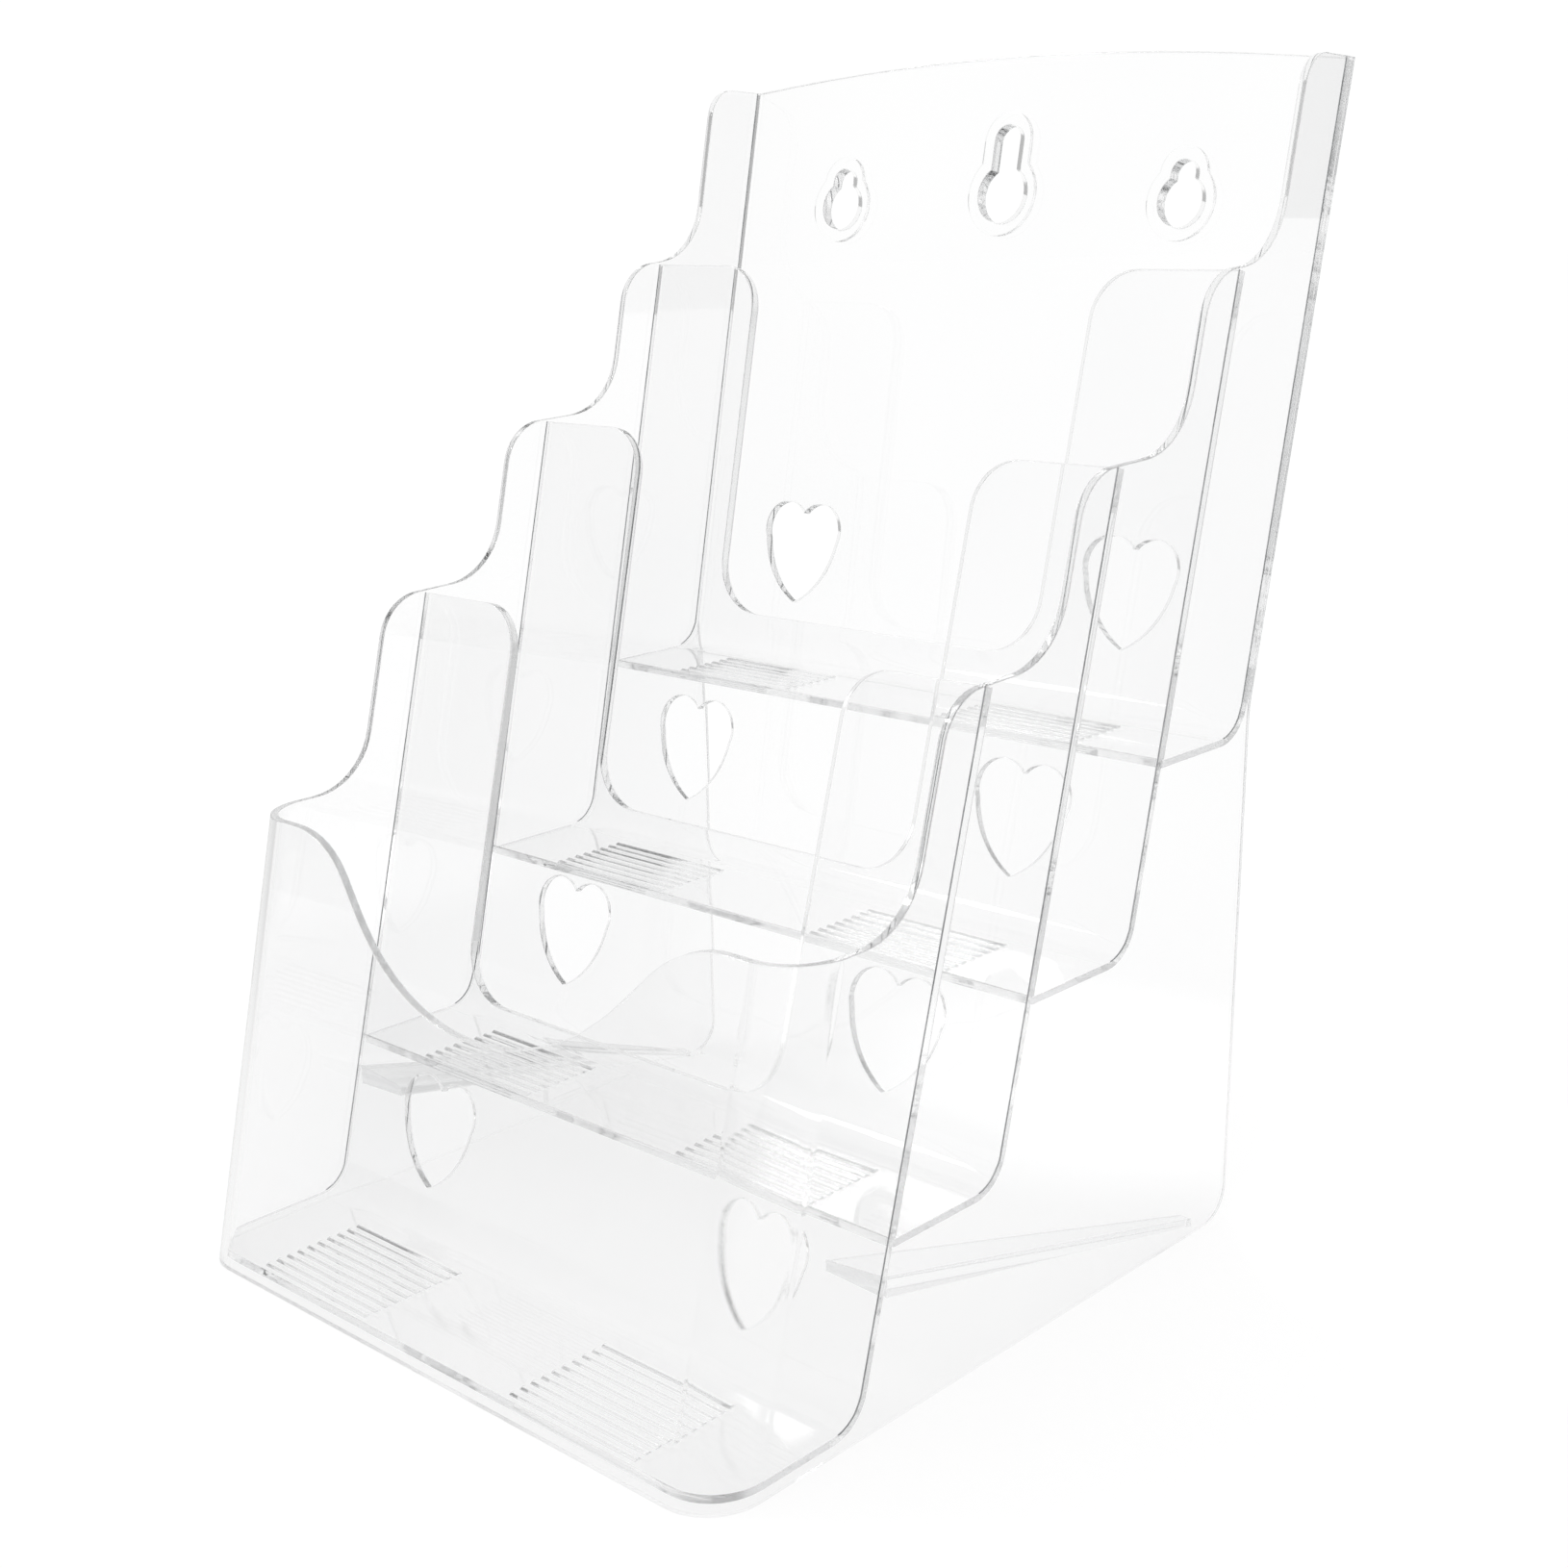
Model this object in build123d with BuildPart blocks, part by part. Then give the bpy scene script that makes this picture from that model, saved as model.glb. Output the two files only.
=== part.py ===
"""Four-pocket brochure rack in clear moulded plastic.

A shell (front panel and both sides), three pocket sheets, a back sheet and two braces.
X runs across the rack, +Y from the front to the back, +Z up.
The origin is the centre of the bounding box, on the surface that the rack stands on.
"""

import os
from math import cos, radians, sin, tan

from build123d import *

# ---- driving dimensions: millimetres and degrees ------------------------------------------
overall_width = 172.8
overall_depth = 199.2
overall_height = 258.1
arch_rise = 5.0  # crown of the back panel above its corners
arch_root = 2.0  # how far the arch reaches down into the back panel

front_lean = radians(14.1)  # front panel, back from the vertical
wall_leans = [radians(15.3), radians(14.5), radians(13.6), radians(12.8)]
draft = radians(0.88)  # side panels, outward from the vertical
shell_thickness = 1.7  # front panel and side panels
sheet_thickness = 2.2  # pocket walls and back panel
floor_thickness = 1.6  # floors, bends and the wall stretch under the next floor
bend_radius = 8.0  # inside radius where a floor turns up into a wall
corner_radius = 12.0  # upright front corners of the shell
bond_gap = 0.1  # glue line between two pieces
overshoot = 10.0  # how far a cutting or trimming shape runs past the piece

# Heights above the table and distances back from the front edge, one for each pocket.
floor_tops = [3.4, 37.8, 74.4, 113.9]
wall_tops = [140.4, 176.4, 211.8, overall_height - arch_rise * cos(wall_leans[3])]
first_wall_top_depth = 77.1
wall_pitch = 40.45

# Side panels.
front_height = 98.3
step_hollow_radius = 17.0
step_crest_radius = 12.0
step_lead = 10.6  # rising edge of a step, ahead of the pocket wall behind it
back_step_lead = 15.7
tread_rise = 1.2  # rise of a tread from its crest back to the next step
top_crest_radius = 8.0
top_crest_rise = 1.2  # hump of the last crest above the rear corner
rear_foot_depth = 166.0
rear_knee_depth = 167.8  # where the rear edge turns up along the back panel
rear_foot_radius = 8.0
rear_knee_radius = 30.0

# Front panel valley.
valley_slope = radians(45.0)
valley_drop = 31.1
valley_shoulder = 66.0  # half the width at which the valley begins
valley_crest_radius = 26.0

# U-shaped cut-out of each pocket wall.
cutout_half_width = 50.0
cutout_draft = radians(1.3)
cutout_lip_height = 17.0  # lip left standing above the next floor
cutout_bottom_radius = 13.0
post_corner_radius = 11.0

# Heart-shaped holes, a pair in each wall.
heart_spacing = 100.0
heart_width = 23.4
heart_height = 25.2
heart_notch = 2.6
heart_shoulder = 9.5  # widest place, below the top of the lobes
heart_lobe_crest = 0.55  # top of a lobe, as a share of the half width
heart_flank = (0.68, 9.0)  # a point on the flank: share of the half width, below the shoulder
heart_top_above_floor = [32.0, 34.8, 34.6, 38.5]

# Keyhole hangers in the back panel: across, height below the panel corners, radii, slot length.
hanger_spacing = 50.0
hanger_rim_width = 3.0
hanger_rim_height = 0.8
middle_hanger = {"drop": 27.0, "head_radius": 6.7, "slot_radius": 3.7, "slot_length": 12.4}
side_hanger = {"drop": 29.2, "head_radius": 5.8, "slot_radius": 3.2, "slot_length": 5.9}

# Ribbed pads, a pair on each floor.
pad_width = 36.0
pad_spacing = 83.0
rib_pitch = 2.7
rib_radius = 1.0
rib_height = 0.45
rib_counts = [10, 8, 8, 7]
rib_margin = 2.0  # from the front of the floor to the middle of the first rib
rib_root = 0.2  # how deep the ribs reach into the floor

# Braces.
brace_front_width = 15.0
brace_front_tops = (30.8, 29.4)  # heights above the table: at the side panel, at the free edge
brace_front_bottoms = (26.3, 27.1)
brace_rear_top = 3.3
brace_rear_depth = 153.5
brace_rear_width = 3.0
brace_rear_height = 1.8

# ---- derived ----------------------------------------------------------------------------
front_y = -overall_depth / 2
side_height = wall_tops[3]
crown_back = arch_rise * sin(wall_leans[3]) + sheet_thickness * cos(wall_leans[3])
wall_top_depths = [first_wall_top_depth + tier * wall_pitch for tier in range(3)]
wall_top_depths.append(overall_depth - crown_back)
top_half_width = overall_width / 2

side_view = Plane(origin=(0, front_y, 0), x_dir=(0, 1, 0), z_dir=(1, 0, 0))
front_view = Plane(origin=(0, front_y, 0), x_dir=(1, 0, 0), z_dir=(0, -1, 0))


def wall_depth(tier, height, behind=0.0):
    """Distance back to a wall's pocket face at a height, or to a face that far behind it."""
    lean = wall_leans[tier]
    below_top = wall_tops[tier] - height
    return wall_top_depths[tier] - below_top * tan(lean) + behind / cos(lean)


def wall_plane(tier):
    """Plane on a wall's pocket face: X across, Y up the wall, origin at its top edge."""
    lean = wall_leans[tier]
    return Plane(
        origin=(0, front_y + wall_top_depths[tier], wall_tops[tier]),
        x_dir=(1, 0, 0),
        z_dir=(0, -cos(lean), sin(lean)),
    )


def half_width(height, inset):
    """Half the distance between the side panels' outer faces, drawn in by inset."""
    return top_half_width - (side_height - height) * tan(draft) - inset / cos(draft)


def tapered_block(inset, past=0.0):
    """The block behind the front panel and between the sides, drawn in by inset.

    It runs past the bottom, top and rear of the rack by past.
    """
    lowest, highest = -past, overall_height + past
    rear = overall_depth + past
    low, high = half_width(lowest, inset), half_width(highest, inset)
    front_low = lowest * tan(front_lean) + inset / cos(front_lean)
    front_high = highest * tan(front_lean) + inset / cos(front_lean)
    with BuildPart() as block:
        with BuildSketch(front_view):
            Polygon((-low, lowest), (low, lowest), (high, highest), (-high, highest), align=None)
        extrude(amount=2 * overall_depth, both=True)
        with BuildSketch(side_view):
            Polygon(
                (front_low, lowest),
                (rear, lowest),
                (rear, highest),
                (front_high, highest),
                align=None,
            )
        extrude(amount=overall_width, both=True, mode=Mode.INTERSECT)
        upright = block.edges().filter_by(Axis.X, reverse=True).sort_by(Axis.Y)[:2]
        fillet(upright, corner_radius - inset)
    return block.part


# ---- shell: front panel and side panels in one moulding -----------------------------------
def side_outline():
    """Corners and corner radii of the stepped side panel, from the front edge round."""
    corners = [(0, 0), (front_height * tan(front_lean), front_height)]
    radii = [0, 0]
    tread_backs = [front_height] + [top + tread_rise for top in wall_tops[:3]]
    for tier in range(4):
        last = tier == 3
        lead = back_step_lead if last else step_lead
        crest_height = wall_tops[tier] + (top_crest_rise if last else 0)
        crest_radius = top_crest_radius if last else step_crest_radius
        corners.append((wall_depth(tier, tread_backs[tier]) - lead, tread_backs[tier]))
        corners.append((wall_depth(tier, crest_height) - lead, crest_height))
        radii += [step_hollow_radius, crest_radius]
    back_face_depth = wall_depth(3, side_height, sheet_thickness)
    knee_height = side_height - (back_face_depth - rear_knee_depth) / tan(wall_leans[3])
    corners += [(back_face_depth, side_height), (rear_knee_depth, knee_height), (rear_foot_depth, 0)]
    radii += [0, rear_knee_radius, rear_foot_radius]
    return corners, radii


with BuildPart() as body_shell:
    add(tapered_block(0))
    add(tapered_block(shell_thickness, overshoot), mode=Mode.SUBTRACT)
    with BuildSketch(side_view):
        outline, outline_radii = side_outline()
        with BuildLine():
            FilletPolyline(outline, radius=outline_radii, close=True)
        make_face()
    extrude(amount=overall_width, both=True, mode=Mode.INTERSECT)

    # The valley: rounded shoulders, two slopes and one round bottom.
    crest_tangent = valley_crest_radius * tan(valley_slope / 2)
    crest_x = valley_shoulder - crest_tangent
    apex_height = front_height - crest_x * tan(valley_slope)
    valley_floor = front_height - valley_drop
    valley_radius = (valley_floor - apex_height) / (1 / cos(valley_slope) - 1)
    with BuildSketch(front_view):
        with BuildLine():
            FilletPolyline(
                (-overall_width, front_height),
                (-crest_x, front_height),
                (0, apex_height),
                (crest_x, front_height),
                (overall_width, front_height),
                radius=(valley_crest_radius, valley_radius, valley_crest_radius),
            )
            Polyline(
                (overall_width, front_height),
                (overall_width, front_height + overshoot),
                (-overall_width, front_height + overshoot),
                (-overall_width, front_height),
            )
        make_face()
    extrude(amount=-(front_height * tan(front_lean) + corner_radius), mode=Mode.SUBTRACT)

body_shell.part.label = "body_shell"


# ---- features shared by the sheets --------------------------------------------------------
def sheet_outline(tier, front):
    """Side-view corners and radii of a floor, its bend and the wall that rises from it."""
    floor_top = floor_tops[tier]
    floor_bottom = floor_top - floor_thickness
    wall_top, top_depth, lean = wall_tops[tier], wall_top_depths[tier], wall_leans[tier]
    last = tier == 3
    foot_thickness = sheet_thickness if last else floor_thickness
    corners = [
        (front, floor_top),
        (wall_depth(tier, floor_top), floor_top),
        (top_depth, wall_top),
        (
            top_depth + sheet_thickness * cos(lean),
            wall_top - sheet_thickness * sin(lean),
        ),
    ]
    radii = [0, bend_radius, 0, 0]
    if not last:
        # A ledge on the back of the wall covers the front edge of the next floor.
        ledge = floor_tops[tier + 1] + bond_gap
        corners.append((wall_depth(tier, ledge, sheet_thickness), ledge))
        corners.append((wall_depth(tier, ledge, foot_thickness), ledge))
        radii += [0, 0]
    corners.append((wall_depth(tier, floor_bottom, foot_thickness), floor_bottom))
    corners.append((front, floor_bottom))
    radii += [bend_radius + foot_thickness, 0]
    return corners, radii


def heart():
    """Half a heart of two arcs, mirrored, with the lobes' tops at Y = 0."""
    side, shoulder, tip = heart_width / 2, -heart_shoulder, -heart_height
    with BuildSketch(mode=Mode.PRIVATE) as shape:
        with BuildLine():
            ThreePointArc((0, -heart_notch), (side * heart_lobe_crest, 0), (side, shoulder))
            flank_point = (side * heart_flank[0], shoulder - heart_flank[1])
            ThreePointArc((side, shoulder), flank_point, (0, tip))
            Line((0, tip), (0, -heart_notch))
        make_face()
        mirror(about=Plane.YZ)
    return shape.sketch


def rib_row(tier, front):
    """Side view of one pad: low round-topped ribs that run across the floor."""
    top = floor_tops[tier]
    with BuildSketch(mode=Mode.PRIVATE) as row:
        for rib in range(rib_counts[tier]):
            depth = front + rib_margin + rib * rib_pitch
            with Locations((depth, top + rib_height - rib_radius)):
                Circle(rib_radius)
        with Locations((front, top - rib_root)):
            Rectangle(
                rib_counts[tier] * rib_pitch + 2 * rib_margin,
                rib_height + 2 * rib_root,
                align=(Align.MIN, Align.MIN),
                mode=Mode.INTERSECT,
            )
    return row.sketch


def bent_sheet(tier):
    """Floor, bend and wall of one pocket, trimmed to the shell, with its ribbed pads."""
    if tier == 0:
        front = 0.0
    else:
        front = wall_depth(tier - 1, floor_tops[tier], floor_thickness) + bond_gap
    pad_front = max(front, floor_tops[0] * tan(front_lean) + shell_thickness + 2 * bond_gap)
    with BuildPart() as sheet:
        with BuildSketch(side_view):
            corners, radii = sheet_outline(tier, front)
            with BuildLine():
                FilletPolyline(corners, radius=radii, close=True)
            make_face()
        extrude(amount=overall_width / 2, both=True)
        for side in (-1, 1):
            pad_plane = side_view.offset(side * pad_spacing / 2)
            with BuildSketch(pad_plane):
                add(rib_row(tier, pad_front))
            extrude(amount=pad_width / 2, both=True)
        add(tapered_block(shell_thickness + bond_gap, overshoot), mode=Mode.INTERSECT)
        heart_top = floor_tops[tier] + heart_top_above_floor[tier]
        drop = (wall_tops[tier] - heart_top) / cos(wall_leans[tier])
        with BuildSketch(wall_plane(tier)):
            with Locations((-heart_spacing / 2, -drop), (heart_spacing / 2, -drop)):
                add(heart())
        extrude(amount=overshoot, both=True, mode=Mode.SUBTRACT)
    return sheet.part


def cutout(tier):
    """U-shaped cut-out between the posts of a pocket wall."""
    lip_top = floor_tops[tier + 1] + cutout_lip_height
    depth = (wall_tops[tier] - lip_top) / cos(wall_leans[tier])
    bottom_half = cutout_half_width - depth * tan(cutout_draft)
    flare = cutout_half_width + post_corner_radius
    with BuildSketch(mode=Mode.PRIVATE) as shape:
        with BuildLine():
            FilletPolyline(
                (-flare, 0),
                (-cutout_half_width, 0),
                (-bottom_half, -depth),
                (bottom_half, -depth),
                (cutout_half_width, 0),
                (flare, 0),
                radius=(
                    post_corner_radius,
                    cutout_bottom_radius,
                    cutout_bottom_radius,
                    post_corner_radius,
                ),
            )
            Polyline((flare, 0), (flare, overshoot), (-flare, overshoot), (-flare, 0))
        make_face()
    return shape.sketch


# ---- pocket sheets --------------------------------------------------------------------
pocket_sheets = []
for tier in range(3):
    with BuildPart() as pocket_sheet:
        add(bent_sheet(tier))
        with BuildSketch(wall_plane(tier)):
            add(cutout(tier))
        extrude(amount=overshoot, both=True, mode=Mode.SUBTRACT)
    pocket_sheet.part.label = f"pocket_sheet_{tier + 1}"
    pocket_sheets.append(pocket_sheet.part)


# ---- back sheet -------------------------------------------------------------------------
def keyhole(hanger, margin=0.0):
    """A round head with a slot above it, grown by margin, centred on the head."""
    head, slot = hanger["head_radius"] + margin, hanger["slot_radius"] + margin
    length = hanger["slot_length"]
    with BuildSketch(mode=Mode.PRIVATE) as shape:
        Circle(head)
        with Locations((0, length)):
            Circle(slot)
        with Locations((0, length / 2)):
            Rectangle(2 * slot, length)
    return shape.sketch


hangers = [
    (-hanger_spacing, side_hanger),
    (0.0, middle_hanger),
    (hanger_spacing, side_hanger),
]

with BuildPart() as back_sheet:
    add(bent_sheet(3))
    back_plane = wall_plane(3)
    panel_half = half_width(side_height, shell_thickness + bond_gap)

    # The arched top stands above the side panels, between their inner faces.
    with BuildSketch(back_plane):
        with BuildLine():
            ThreePointArc((-panel_half, 0), (0, arch_rise), (panel_half, 0))
            Polyline(
                (panel_half, 0),
                (panel_half, -arch_root),
                (-panel_half, -arch_root),
                (-panel_half, 0),
            )
        make_face()
    extrude(amount=-sheet_thickness)

    for across, hanger in hangers:
        with BuildSketch(back_plane):
            with Locations((across, -hanger["drop"])):
                add(keyhole(hanger, hanger_rim_width))
        extrude(amount=hanger_rim_height)
    for across, hanger in hangers:
        with BuildSketch(back_plane):
            with Locations((across, -hanger["drop"])):
                add(keyhole(hanger))
        extrude(amount=overshoot, both=True, mode=Mode.SUBTRACT)

back_sheet.part.label = "back_sheet"


# ---- braces -----------------------------------------------------------------------------
def brace(side):
    """Tapered strip along a side panel, from behind the first wall to the rear foot."""
    front_low = brace_front_bottoms[0]
    front_depth = wall_depth(0, brace_front_tops[0], floor_thickness) + bond_gap
    wall_inset = shell_thickness + bond_gap
    front_out = side * half_width(front_low, wall_inset)
    front_in = front_out - side * brace_front_width
    rear_out = side * half_width(brace_rear_top - brace_rear_height, wall_inset)
    rear_in = rear_out - side * brace_rear_width
    rear_low = brace_rear_top - brace_rear_height
    front_plane = front_view.offset(-front_depth)
    rear_plane = front_view.offset(-brace_rear_depth)
    with BuildPart() as strip:
        with BuildSketch(front_plane):
            Polygon(
                (front_out, front_low),
                (front_out, brace_front_tops[0]),
                (front_in, brace_front_tops[1]),
                (front_in, brace_front_bottoms[1]),
                align=None,
            )
        with BuildSketch(rear_plane):
            Polygon(
                (rear_out, rear_low),
                (rear_out, brace_rear_top),
                (rear_in, brace_rear_top),
                (rear_in, rear_low),
                align=None,
            )
        loft()
    return strip.part


left_brace = brace(-1)
left_brace.label = "left_brace"
right_brace = brace(1)
right_brace.label = "right_brace"


# ---- write one STEP for each piece -------------------------------------------------------
os.makedirs("parts", exist_ok=True)
for piece in [body_shell.part, *pocket_sheets, back_sheet.part, left_brace, right_brace]:
    export_step(piece, f"parts/{piece.label}.step")
    print(piece.label, round(piece.volume / 1000, 2), "cm3")
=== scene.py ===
"""Looks for the brochure rack: clear plastic, a pale floor, soft studio light and the camera."""

import math
import bpy
from mathutils import Matrix, Vector


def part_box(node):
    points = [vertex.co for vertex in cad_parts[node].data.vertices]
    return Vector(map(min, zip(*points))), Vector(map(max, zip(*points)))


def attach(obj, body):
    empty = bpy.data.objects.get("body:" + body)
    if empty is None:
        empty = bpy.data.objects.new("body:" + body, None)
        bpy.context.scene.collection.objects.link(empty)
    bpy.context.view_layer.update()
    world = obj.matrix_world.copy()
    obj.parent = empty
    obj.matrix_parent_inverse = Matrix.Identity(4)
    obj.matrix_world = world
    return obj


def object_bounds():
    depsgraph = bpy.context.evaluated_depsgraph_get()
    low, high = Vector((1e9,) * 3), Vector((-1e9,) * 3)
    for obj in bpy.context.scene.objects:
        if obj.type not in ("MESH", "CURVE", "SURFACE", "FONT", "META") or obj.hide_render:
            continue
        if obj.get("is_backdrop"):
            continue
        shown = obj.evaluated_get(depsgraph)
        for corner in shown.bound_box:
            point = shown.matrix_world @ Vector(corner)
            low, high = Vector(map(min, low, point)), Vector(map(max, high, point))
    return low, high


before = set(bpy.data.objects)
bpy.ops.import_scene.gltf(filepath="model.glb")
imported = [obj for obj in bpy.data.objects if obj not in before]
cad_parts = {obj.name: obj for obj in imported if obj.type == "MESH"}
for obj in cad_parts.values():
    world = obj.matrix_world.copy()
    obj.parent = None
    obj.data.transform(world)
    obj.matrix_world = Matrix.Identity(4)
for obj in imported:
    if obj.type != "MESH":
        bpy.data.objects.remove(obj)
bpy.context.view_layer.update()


low, high = (Vector(corner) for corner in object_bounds())
centre = (low + high) / 2
floor_z = low.z
scene = bpy.context.scene

MM = 0.001
WHITE = (1, 1, 1, 1)

# ---- driving values: plastic ------------------------------------------------------------
plastic_ior = 1.55
plastic_tints = ((0.968, 0.969, 0.970), (0.985, 0.985, 0.985))
brace_tints = ((0.95, 0.953, 0.955), (0.975, 0.976, 0.978))
absorption_colour = (0.6, 0.61, 0.62, 1)
absorption = 2.0  # per metre: the edges of the sheets look darker than their faces

cloud_scale = 9.0  # a slow drift between the two tints
mottle_band = (0.35, 0.65)  # the stretch of a noise over which one tint turns into the other
flow_scale = 14.0  # faint waves, as moulding leaves them
flow_strength = 0.08
flow_height = 0.6 * MM
scuff_scale = 260.0
scuff_band = (0.3, 0.75)
scuff_roughness = (0.0, 0.03)

corner_radius = 0.5 * MM  # the rims of the plates shade as if rounded by this much
corner_samples = 4
corner_fade = 1 * MM
ribbed_height = 6 * MM  # the lowest part of a sheet, where rounding would blur the fine ribs

# ---- driving values: cement -------------------------------------------------------------
bead_radius = 0.16 * MM
bead_smoothness = 2
cement_ior = 1.4
cement_transmission = 0.6
cement_greys = ((0.30, 0.31, 0.32), (0.62, 0.63, 0.64))
lump_scale = 120.0
lump_band = (0.3, 0.7)
cement_roughness = (0.15, 0.4)
end_facing = 0.9  # a glued end's normal points sideways by more than this
end_place = 0.9  # and it lies further out than this share of half the width
front_sideways = 0.5  # the front of a sheet's normal points sideways by less than this
front_forward = 0.2  # and forward by more than this
point_digits = 4  # metres are rounded to this, so that corners which meet compare equal

# ---- driving values: studio -------------------------------------------------------------
studio_light = 1.02
# where the room is dimmer as the plastic mirrors it: direction, half widths in degrees of its
# core and of its soft edge, brightness. There are two, one for each input of the node that
# multiplies them.
dim_sides = [((-0.99, -0.07, -0.02), 33, 49, 0.54), ((0.72, 0.69, 0.0), 26, 42, 0.45)]

softbox_place = Vector((-0.41, -0.33, 0.58))
softbox_side = 0.12
softbox_power = 0.9

pool_middle = Vector((0.150, 0.108, floor_z))
pool_lamp_height = 0.5
pool_spread = math.radians(18)
pool_power = 40.0

floor_radius = 6.0
floor_corners = 96
floor_albedo = 0.14
floor_roughness = 0.9
floor_glow = 0.88  # the table glows, so that the rack's shadow on it stays faint
floor_glow_in_reflections = (0.82, 0.62)  # before the shade, and in it
shade_direction = Vector((-0.8, -0.6, 0.0))
shade_reach = (0.1, 0.6)  # metres from the middle, where the shade starts and where it is full

# ---- driving values: camera -------------------------------------------------------------
camera_azimuth = math.radians(43.7)  # to the right of straight in front
camera_elevation = math.radians(15.2)
camera_distance = 0.5006
camera_roll = math.radians(1.55)
camera_lens = 51.1
camera_sensor = 36
camera_near = 0.01
aim = Vector((0, 0.0106, 0.1005))

light_bounces = 96  # light is mirrored inside the plates many times: fewer turn the rims black
transparent_bounces = 16


# ---- node helpers -----------------------------------------------------------------------
def node(tree, kind, **inputs):
    """A node of that kind with its input values set by name."""
    made = tree.nodes.new(kind)
    for name, value in inputs.items():
        made.inputs[name.replace("_", " ")].default_value = value
    return made


def ramp(tree, value, source, target):
    """That value, with the source range mapped to the target range."""
    made = tree.nodes.new("ShaderNodeMapRange")
    made.inputs["From Min"].default_value, made.inputs["From Max"].default_value = source
    made.inputs["To Min"].default_value, made.inputs["To Max"].default_value = target
    tree.links.new(value, made.inputs["Value"])
    return made.outputs["Result"]


def noise(tree, scale, detail, roughness):
    """Noise that is fixed to the piece."""
    made = node(tree, "ShaderNodeTexNoise", Scale=scale, Detail=detail, Roughness=roughness)
    place = tree.nodes.new("ShaderNodeTexCoord").outputs["Object"]
    tree.links.new(place, made.inputs["Vector"])
    return made.outputs["Fac"]


def mottled(tree, value, colours):
    """A colour that drifts between two with that noise."""
    mix = tree.nodes.new("ShaderNodeMix")
    mix.data_type = "RGBA"
    ends = [socket for socket in mix.inputs if socket.type == "RGBA"]
    for end, colour in zip(ends, colours):
        end.default_value = (*colour, 1)
    tree.links.new(ramp(tree, value, mottle_band, (0.0, 1.0)), mix.inputs["Factor"])
    return mix.outputs[2]


def along(tree, vector, direction):
    """How far the vector reaches in that direction."""
    made = tree.nodes.new("ShaderNodeVectorMath")
    made.operation = "DOT_PRODUCT"
    made.inputs[1].default_value = direction
    tree.links.new(vector, made.inputs[0])
    return made.outputs["Value"]


def reflected(tree):
    """1 for light that was mirrored at least once, 0 for light seen straight or through."""
    once = tree.nodes.new("ShaderNodeMath")
    once.operation = "MINIMUM"
    once.inputs[1].default_value = 1.0
    path = tree.nodes.new("ShaderNodeLightPath")
    tree.links.new(path.outputs["Glossy Depth"], once.inputs[0])
    return once.outputs["Value"]


# ---- materials --------------------------------------------------------------------------
def rounded_corners(tree, above):
    """The surface's normal, turned as on rounded corners, but only higher than above."""
    geometry = tree.nodes.new("ShaderNodeNewGeometry")
    rounded = tree.nodes.new("ShaderNodeBevel")
    rounded.samples = corner_samples
    rounded.inputs["Radius"].default_value = corner_radius
    height = tree.nodes.new("ShaderNodeSeparateXYZ")
    tree.links.new(geometry.outputs["Position"], height.inputs["Vector"])
    share = ramp(tree, height.outputs["Z"], (above, above + corner_fade), (0, 1))
    corner = tree.nodes.new("ShaderNodeMix")
    corner.data_type = "VECTOR"
    tree.links.new(share, corner.inputs["Factor"])
    flat_end, rounded_end = [socket for socket in corner.inputs if socket.type == "VECTOR"][-2:]
    tree.links.new(geometry.outputs["Normal"], flat_end)
    tree.links.new(rounded.outputs["Normal"], rounded_end)
    return corner.outputs[1]


def clear_plastic(name, above, tints):
    """Clear moulded plastic: faint flow waves and clouds, fine scuffs, and soft corners."""
    material = bpy.data.materials.new(name)
    material.use_nodes = True
    tree = material.node_tree
    tree.nodes.clear()
    output = tree.nodes.new("ShaderNodeOutputMaterial")
    shader = tree.nodes.new("ShaderNodeBsdfPrincipled")
    shader.inputs["Transmission Weight"].default_value = 1.0
    shader.inputs["IOR"].default_value = plastic_ior
    tree.links.new(shader.outputs["BSDF"], output.inputs["Surface"])

    cloud = noise(tree, cloud_scale, detail=2.0, roughness=0.5)
    tree.links.new(mottled(tree, cloud, tints), shader.inputs["Base Color"])

    scuffs = noise(tree, scuff_scale, detail=4.0, roughness=0.7)
    roughness = ramp(tree, scuffs, scuff_band, scuff_roughness)
    tree.links.new(roughness, shader.inputs["Roughness"])

    flow = noise(tree, flow_scale, detail=1.0, roughness=0.4)
    waves = node(tree, "ShaderNodeBump", Strength=flow_strength, Distance=flow_height)
    tree.links.new(flow, waves.inputs["Height"])
    tree.links.new(rounded_corners(tree, above), waves.inputs["Normal"])
    tree.links.new(waves.outputs["Normal"], shader.inputs["Normal"])

    volume = tree.nodes.new("ShaderNodeVolumeAbsorption")
    volume.inputs["Color"].default_value = absorption_colour
    volume.inputs["Density"].default_value = absorption
    tree.links.new(volume.outputs["Volume"], output.inputs["Volume"])
    return material


def cement_material():
    """Set cement: clear, but greyer and duller than the plastic, and a little lumpy."""
    material = bpy.data.materials.new("cement")
    material.use_nodes = True
    tree = material.node_tree
    shader = tree.nodes["Principled BSDF"]
    shader.inputs["Transmission Weight"].default_value = cement_transmission
    shader.inputs["IOR"].default_value = cement_ior
    lumps = noise(tree, lump_scale, detail=2.0, roughness=0.5)
    tree.links.new(mottled(tree, lumps, cement_greys), shader.inputs["Base Color"])
    roughness = ramp(tree, lumps, lump_band, cement_roughness)
    tree.links.new(roughness, shader.inputs["Roughness"])
    return material


# ---- the CAD pieces ---------------------------------------------------------------------
for name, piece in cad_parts.items():
    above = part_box(name)[0][2] + (ribbed_height if "sheet" in name else 0)
    tints = brace_tints if "brace" in name else plastic_tints
    piece.data.materials.clear()
    piece.data.materials.append(clear_plastic("clear_plastic_" + name, above, tints))


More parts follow.
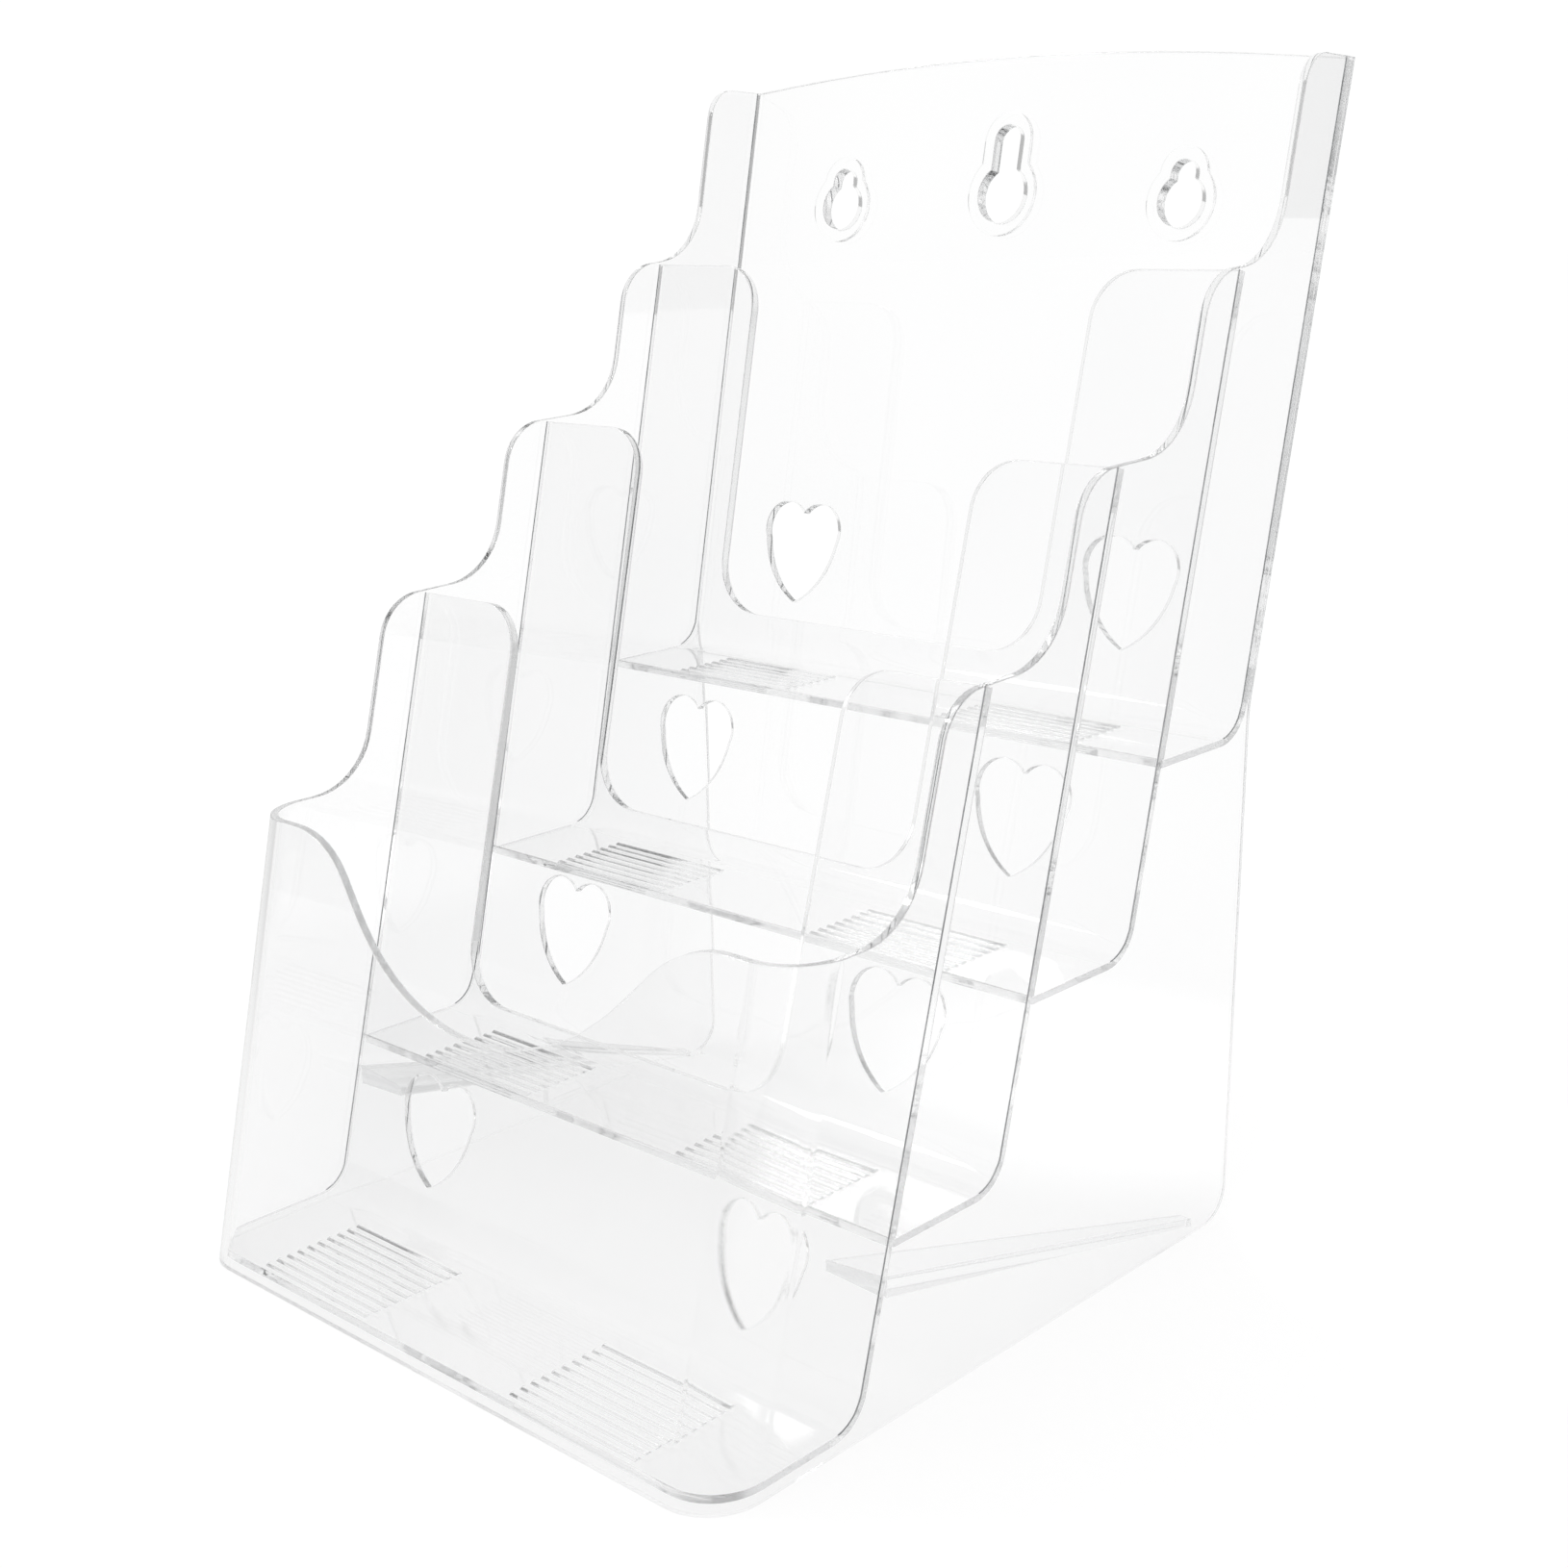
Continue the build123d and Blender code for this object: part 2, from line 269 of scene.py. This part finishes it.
# ---- beads of cement --------------------------------------------------------------------
def corner_line(piece, side):
    """Points along the inside corner where a sheet's end on one side is glued, from the top down.

    The corner is where the sheet's end face meets its front, which looks forward and up.
    """
    mesh = piece.data
    end_edges, front_edges = set(), set()
    for polygon in mesh.polygons:
        corners = [mesh.vertices[index].co for index in polygon.vertices]
        corners = [tuple(round(value, point_digits) for value in corner) for corner in corners]
        pairs = {frozenset(pair) for pair in zip(corners, corners[1:] + corners[:1])}
        normal, middle = polygon.normal, polygon.center
        if normal.x * side > end_facing and middle.x * side > end_place * high.x:
            end_edges |= pairs
        elif abs(normal.x) < front_sideways and normal.y < -front_forward and normal.z > 0:
            front_edges |= pairs
    edges = [tuple(pair) for pair in end_edges & front_edges if len(pair) == 2]
    point = max((end for edge in edges for end in edge), key=lambda end: end[2])
    line = [point]
    while True:
        nearby = [edge for edge in edges if point in edge]
        if not nearby:
            return line
        edges.remove(nearby[0])
        point = nearby[0][1] if nearby[0][0] == point else nearby[0][0]
        line.append(point)


def cement_bead(name, line, material):
    """A thin round bead along those points."""
    curve = bpy.data.curves.new(name, "CURVE")
    curve.dimensions = "3D"
    curve.bevel_depth = bead_radius
    curve.bevel_resolution = bead_smoothness
    curve.use_fill_caps = True
    spline = curve.splines.new("POLY")
    spline.points.add(len(line) - 1)
    for point, place in zip(spline.points, line):
        point.co = (*place, 1)
    curve.materials.append(material)
    bead = bpy.data.objects.new(name, curve)
    scene.collection.objects.link(bead)
    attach(bead, "root")


cement = cement_material()
for sheet in [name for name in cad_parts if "sheet" in name]:
    for side_name, side in (("left", -1), ("right", 1)):
        line = corner_line(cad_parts[sheet], side)
        cement_bead("cement_" + side_name + "_" + sheet, line, cement)


# ---- floor ------------------------------------------------------------------------------
def floor():
    """A pale table top that glows a little, so that the rack's shadow stays faint."""
    bpy.ops.mesh.primitive_circle_add(
        vertices=floor_corners, radius=floor_radius, fill_type="NGON", location=(0, 0, floor_z)
    )
    plate = bpy.context.object
    plate.name = "floor"
    material = bpy.data.materials.new("floor_paper")
    material.use_nodes = True
    tree = material.node_tree
    shader = tree.nodes["Principled BSDF"]
    shader.inputs["Base Color"].default_value = (floor_albedo, floor_albedo, floor_albedo, 1)
    shader.inputs["Roughness"].default_value = floor_roughness
    shader.inputs["Specular IOR Level"].default_value = 0.0
    shader.inputs["Emission Color"].default_value = WHITE
    # as the plastic mirrors it, the table falls into shade towards the dim front left
    position = tree.nodes.new("ShaderNodeNewGeometry").outputs["Position"]
    reach = along(tree, position, shade_direction)
    glow = node(tree, "ShaderNodeMix", A=floor_glow)
    tree.links.new(reflected(tree), glow.inputs["Factor"])
    tree.links.new(ramp(tree, reach, shade_reach, floor_glow_in_reflections), glow.inputs["B"])
    tree.links.new(glow.outputs["Result"], shader.inputs["Emission Strength"])
    plate.data.materials.append(material)
    plate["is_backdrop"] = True


# ---- light ------------------------------------------------------------------------------
def dimming(tree, towards, core, edge, brightness):
    """1 all round the room, falling softly to that brightness towards one side."""
    direction = tree.nodes.new("ShaderNodeTexCoord").outputs["Generated"]
    closeness = along(tree, direction, Vector(towards).normalized())
    source = (math.cos(math.radians(edge)), math.cos(math.radians(core)))
    result = ramp(tree, closeness, source, (1.0, brightness))
    result.node.interpolation_type = "SMOOTHSTEP"
    return result


def studio():
    """White all round, as in a light tent, but with dimmer sides in the plastic's reflections."""
    world = bpy.data.worlds.new("studio")
    scene.world = world
    world.use_nodes = True
    tree = world.node_tree
    background = tree.nodes["Background"]
    background.inputs["Color"].default_value = WHITE
    dimmed = tree.nodes.new("ShaderNodeMath")
    dimmed.operation = "MULTIPLY"
    for dim_side, socket in zip(dim_sides, dimmed.inputs):
        tree.links.new(dimming(tree, *dim_side), socket)
    light = node(tree, "ShaderNodeMix", A=studio_light)
    tree.links.new(reflected(tree), light.inputs["Factor"])
    tree.links.new(dimmed.outputs["Value"], light.inputs["B"])
    tree.links.new(light.outputs["Result"], background.inputs["Strength"])


def softbox():
    """A square lamp at the upper left, aimed at the rack, which shows only in reflections."""
    light = bpy.data.lights.new("upper_left", "AREA")
    light.shape = "RECTANGLE"
    light.size = light.size_y = softbox_side
    light.energy = softbox_power
    lamp = bpy.data.objects.new("upper_left", light)
    lamp.location = softbox_place
    lamp.rotation_euler = (centre - softbox_place).to_track_quat("-Z", "Y").to_euler()
    lamp.visible_camera = False
    lamp.visible_transmission = False
    scene.collection.objects.link(lamp)


def light_pool():
    """A soft round pool of light on the table, which the right side panel mirrors."""
    light = bpy.data.lights.new("light_pool", "SPOT")
    light.energy = pool_power
    light.spot_size = pool_spread
    light.spot_blend = 1.0
    lamp = bpy.data.objects.new("light_pool", light)
    lamp.location = pool_middle + Vector((0, 0, pool_lamp_height))
    scene.collection.objects.link(lamp)


floor()
studio()
softbox()
light_pool()

# ---- camera -----------------------------------------------------------------------------
camera = bpy.data.objects.new("camera", bpy.data.cameras.new("camera"))
scene.collection.objects.link(camera)
scene.camera = camera
camera.data.sensor_width = camera_sensor
camera.data.lens = camera_lens
camera.data.clip_start = camera_near
toward_camera = Vector((
    math.sin(camera_azimuth) * math.cos(camera_elevation),
    -math.cos(camera_azimuth) * math.cos(camera_elevation),
    math.sin(camera_elevation),
))
stand = Matrix.Translation(aim + toward_camera * camera_distance)
turn = (-toward_camera).to_track_quat("-Z", "Y").to_matrix().to_4x4()
camera.matrix_world = stand @ turn @ Matrix.Rotation(-camera_roll, 4, "Z")

scene.cycles.max_bounces = light_bounces
scene.cycles.transmission_bounces = light_bounces
scene.cycles.glossy_bounces = light_bounces
scene.cycles.transparent_max_bounces = transparent_bounces
scene.view_settings.view_transform = "Standard"
